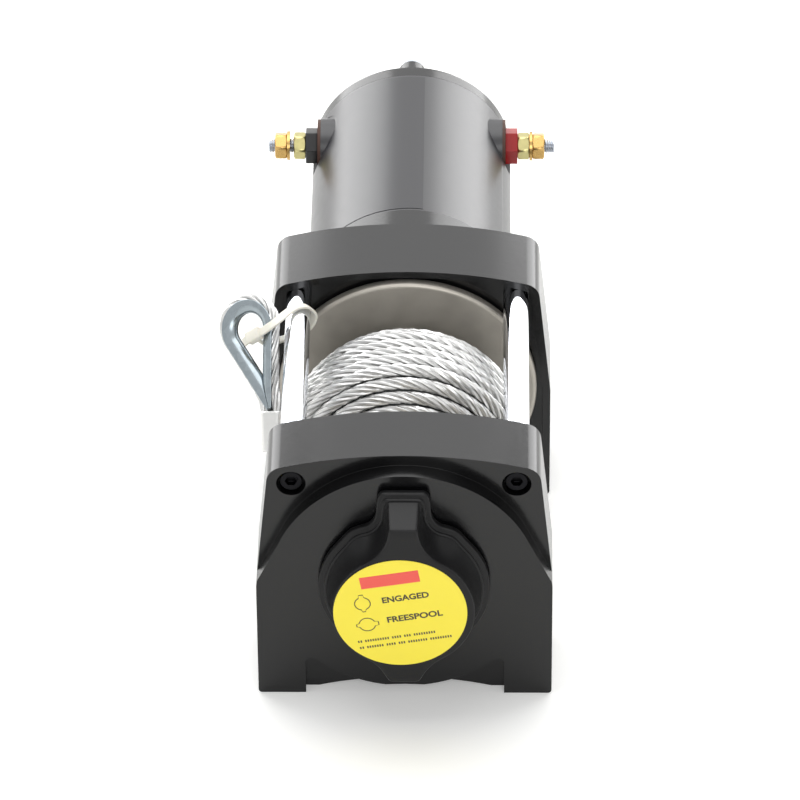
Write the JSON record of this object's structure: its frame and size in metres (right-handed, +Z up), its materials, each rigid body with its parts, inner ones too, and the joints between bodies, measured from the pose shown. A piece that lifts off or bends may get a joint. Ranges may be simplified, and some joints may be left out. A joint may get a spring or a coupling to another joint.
{
  "type": "electric recovery winch",
  "caption": "Compact electric winch: gear housing with a turning clutch knob, wire rope drum between chromed tie rods, and a round motor with two terminals.",
  "frame": {"origin": "centre of the four mounting bolts, on the flat mounting face", "axes": "+Y along the drum axis from the clutch end to the motor end, +Z up from the mounting face"},
  "size_m": [0.1329, 0.3193, 0.111],
  "materials": {
    "gloss_black_casting": "gloss black powder coat on cast aluminium",
    "black_can": "satin black paint on rolled steel",
    "chrome_rods": "polished chrome plate",
    "black_screws": "black oxide",
    "zinc_steel": "bright zinc plate",
    "nylon_bush": "natural nylon",
    "gear_steel": "machined and oiled",
    "brake_lining": "sintered friction metal",
    "bare_drum_steel": "turned bare steel",
    "wire_rope": "galvanised strands",
    "pressed_aluminium": "pressed, bright",
    "galvanised_steel": "bright galvanised",
    "ivory_nylon": "moulded nylon",
    "black_plastic": "satin moulded",
    "yellow_sticker": "printed vinyl",
    "spring_steel": "drawn wire",
    "dark_plate": "pressed sheet and laminations",
    "magnet_ferrite": "ground ferrite",
    "copper": "lacquered copper",
    "phenolic_board": "pressed fibre board",
    "carbon_brush": "carbon block",
    "brass": "plain brass",
    "red_plastic": "moulded",
    "dark_label": "plain printed film, bare"
  },
  "bodies": {
    "winch_frame": {"gear_housing": "gloss_black_casting", "motor_bracket": "gloss_black_casting", "tie_rods": "chrome_rods", "tie_rod_screws": "black_screws", "mounting_nuts": "zinc_steel", "drum_bush_front": "nylon_bush", "drum_bush_rear": "nylon_bush", "ring_gear": "gear_steel", "rope_tail": "wire_rope", "rope_eye": "wire_rope", "ferrule": "pressed_aluminium", "thimble": "galvanised_steel", "zip_tie": "ivory_nylon", "clutch_screw": "zinc_steel", "clutch_spring": "spring_steel", "motor_can": "black_can", "motor_end_cap": "gloss_black_casting", "motor_front_plate": "dark_plate", "motor_bearings": "gear_steel", "field_magnets": "magnet_ferrite", "brush_plate": "phenolic_board", "brushes": "carbon_brush", "brush_springs": "spring_steel", "through_bolts": "zinc_steel", "terminal_studs": "zinc_steel", "insulator_black": "black_plastic", "insulator_red": "red_plastic", "fibre_washers": "phenolic_board", "terminal_washers": "brass", "inner_nuts": "zinc_steel", "outer_nuts": "brass", "motor_label": "dark_label"},
    "rope_drum": {"drum": "bare_drum_steel", "rope_core": "wire_rope", "rope_winding": "wire_rope", "carrier_3": "gear_steel"},
    "motor_rotor": {"armature_core": "dark_plate", "armature_windings": "copper", "armature_shaft": "gear_steel", "commutator": "copper", "shaft_coupling": "gear_steel", "drive_shaft": "gear_steel", "brake_shoes": "brake_lining", "sun_gear_1": "gear_steel"},
    "stage_1_carrier": {"carrier_1": "gear_steel", "sun_gear_2": "gear_steel"},
    "stage_2_carrier": {"carrier_2": "gear_steel", "sun_gear_3": "gear_steel"},
    "clutch_knob": {"clutch_knob": "black_plastic", "knob_sticker": "yellow_sticker"},
    "clutch_slider": {"clutch_slider": "gear_steel"},
    "planet_gear_1a": {"planet_gear_1a": "gear_steel"},
    "planet_gear_1b": {"planet_gear_1b": "gear_steel"},
    "planet_gear_1c": {"planet_gear_1c": "gear_steel"},
    "planet_gear_2a": {"planet_gear_2a": "gear_steel"},
    "planet_gear_2b": {"planet_gear_2b": "gear_steel"},
    "planet_gear_2c": {"planet_gear_2c": "gear_steel"},
    "planet_gear_3a": {"planet_gear_3a": "gear_steel"},
    "planet_gear_3b": {"planet_gear_3b": "gear_steel"},
    "planet_gear_3c": {"planet_gear_3c": "gear_steel"}
  },
  "joints": [
    {"name": "drum_spin", "type": "hinge", "parent": "winch_frame", "child": "rope_drum", "pos_m": [0, 0, 0.055], "axis": [0, 1, 0], "continuous": true},
    {"name": "stage_2_spin", "type": "hinge", "parent": "winch_frame", "child": "stage_2_carrier", "pos_m": [0, 0, 0.055], "axis": [0, 1, 0], "continuous": true},
    {"name": "stage_1_spin", "type": "hinge", "parent": "winch_frame", "child": "stage_1_carrier", "pos_m": [0, 0, 0.055], "axis": [0, 1, 0], "continuous": true},
    {"name": "motor_spin", "type": "hinge", "parent": "winch_frame", "child": "motor_rotor", "pos_m": [0, 0, 0.055], "axis": [0, 1, 0], "continuous": true},
    {"name": "planet_1a_spin", "type": "hinge", "parent": "stage_1_carrier", "child": "planet_gear_1a", "pos_m": [0, 0, 0.07562], "axis": [0, 1, 0], "continuous": true},
    {"name": "planet_1b_spin", "type": "hinge", "parent": "stage_1_carrier", "child": "planet_gear_1b", "pos_m": [-0.01786, 0, 0.04469], "axis": [0, 1, 0], "continuous": true},
    {"name": "planet_1c_spin", "type": "hinge", "parent": "stage_1_carrier", "child": "planet_gear_1c", "pos_m": [0.01786, 0, 0.04469], "axis": [0, 1, 0], "continuous": true},
    {"name": "planet_2a_spin", "type": "hinge", "parent": "stage_2_carrier", "child": "planet_gear_2a", "pos_m": [0, 0, 0.07562], "axis": [0, 1, 0], "continuous": true},
    {"name": "planet_2b_spin", "type": "hinge", "parent": "stage_2_carrier", "child": "planet_gear_2b", "pos_m": [-0.01786, 0, 0.04469], "axis": [0, 1, 0], "continuous": true},
    {"name": "planet_2c_spin", "type": "hinge", "parent": "stage_2_carrier", "child": "planet_gear_2c", "pos_m": [0.01786, 0, 0.04469], "axis": [0, 1, 0], "continuous": true},
    {"name": "planet_3a_spin", "type": "hinge", "parent": "rope_drum", "child": "planet_gear_3a", "pos_m": [0, 0, 0.07562], "axis": [0, 1, 0], "continuous": true},
    {"name": "planet_3b_spin", "type": "hinge", "parent": "rope_drum", "child": "planet_gear_3b", "pos_m": [-0.01786, 0, 0.04469], "axis": [0, 1, 0], "continuous": true},
    {"name": "planet_3c_spin", "type": "hinge", "parent": "rope_drum", "child": "planet_gear_3c", "pos_m": [0.01786, 0, 0.04469], "axis": [0, 1, 0], "continuous": true},
    {"name": "knob_turn", "type": "hinge", "parent": "winch_frame", "child": "clutch_knob", "pos_m": [0, 0, 0.055], "axis": [0, 1, 0], "range_deg": [0, 90]},
    {"name": "clutch_shift", "type": "slide", "parent": "winch_frame", "child": "clutch_slider", "axis": [0, -1, 0], "range_m": [0, 0.006], "deforming": ["clutch_spring"]}
  ],
  "couplings": [
    {"joint": "stage_2_spin", "follows": "drum_spin", "ratio": 5.5},
    {"joint": "stage_1_spin", "follows": "drum_spin", "ratio": 30.25},
    {"joint": "motor_spin", "follows": "drum_spin", "ratio": 166.38},
    {"joint": "planet_1a_spin", "follows": "drum_spin", "ratio": -77.786},
    {"joint": "planet_1b_spin", "follows": "drum_spin", "ratio": -77.786},
    {"joint": "planet_1c_spin", "follows": "drum_spin", "ratio": -77.786},
    {"joint": "planet_2a_spin", "follows": "drum_spin", "ratio": -14.143},
    {"joint": "planet_2b_spin", "follows": "drum_spin", "ratio": -14.143},
    {"joint": "planet_2c_spin", "follows": "drum_spin", "ratio": -14.143},
    {"joint": "planet_3a_spin", "follows": "drum_spin", "ratio": -2.5714},
    {"joint": "planet_3b_spin", "follows": "drum_spin", "ratio": -2.5714},
    {"joint": "planet_3c_spin", "follows": "drum_spin", "ratio": -2.5714},
    {"joint": "clutch_shift", "follows": "knob_turn", "m_per_rad": 0.0038197}
  ]
}
